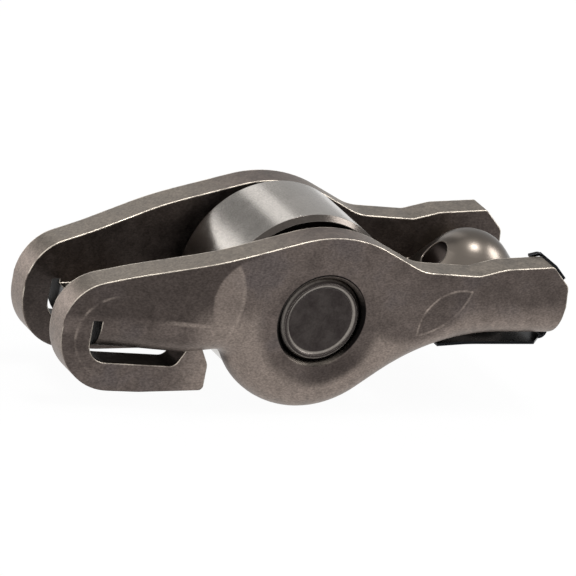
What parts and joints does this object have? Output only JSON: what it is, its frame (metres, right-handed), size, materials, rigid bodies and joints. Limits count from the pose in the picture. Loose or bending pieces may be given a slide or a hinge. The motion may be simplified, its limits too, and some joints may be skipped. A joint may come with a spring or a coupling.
{
  "type": "roller finger follower rocker arm",
  "caption": "Stamped steel rocker arm with a needle-bearing cam roller, a domed pivot socket at one end and a hooked valve pad at the other, with a spring clip at the socket.",
  "frame": {"origin": "centre of the roller's axle, on the arm's plane of symmetry", "axes": "+X along the arm from the valve end to the pivot socket, +Z towards the camshaft, Y along the axle"},
  "size_m": [0.0484, 0.016, 0.0174],
  "materials": {
    "stamped_steel": "heat-treated sheet steel, matte brown-grey",
    "pin_steel": "hardened steel, dark satin",
    "ground_steel": "finely ground bright steel",
    "needle_steel": "polished bearing steel",
    "spring_steel": "blackened spring steel"
  },
  "bodies": {
    "arm": {"arm_body": "stamped_steel", "axle_pin": "pin_steel", "retaining_clip": "spring_steel"},
    "roller": {"cam_roller": "ground_steel"},
    "needles": {"needle_01": "needle_steel", "needle_02": "needle_steel", "needle_03": "needle_steel", "needle_04": "needle_steel", "needle_05": "needle_steel", "needle_06": "needle_steel", "needle_07": "needle_steel", "needle_08": "needle_steel", "needle_09": "needle_steel", "needle_10": "needle_steel", "needle_11": "needle_steel", "needle_12": "needle_steel", "needle_13": "needle_steel", "needle_14": "needle_steel", "needle_15": "needle_steel", "needle_16": "needle_steel", "needle_17": "needle_steel", "needle_18": "needle_steel"}
  },
  "joints": [
    {"name": "roller_spin", "type": "hinge", "parent": "arm", "child": "roller", "pos_m": [0, 0, 0], "axis": [0, 1, 0], "continuous": true},
    {"name": "needle_orbit", "type": "hinge", "parent": "arm", "child": "needles", "pos_m": [0, 0, 0], "axis": [0, 1, 0], "continuous": true}
  ],
  "couplings": [
    {"joint": "needle_orbit", "follows": "roller_spin", "ratio": 0.5859}
  ]
}
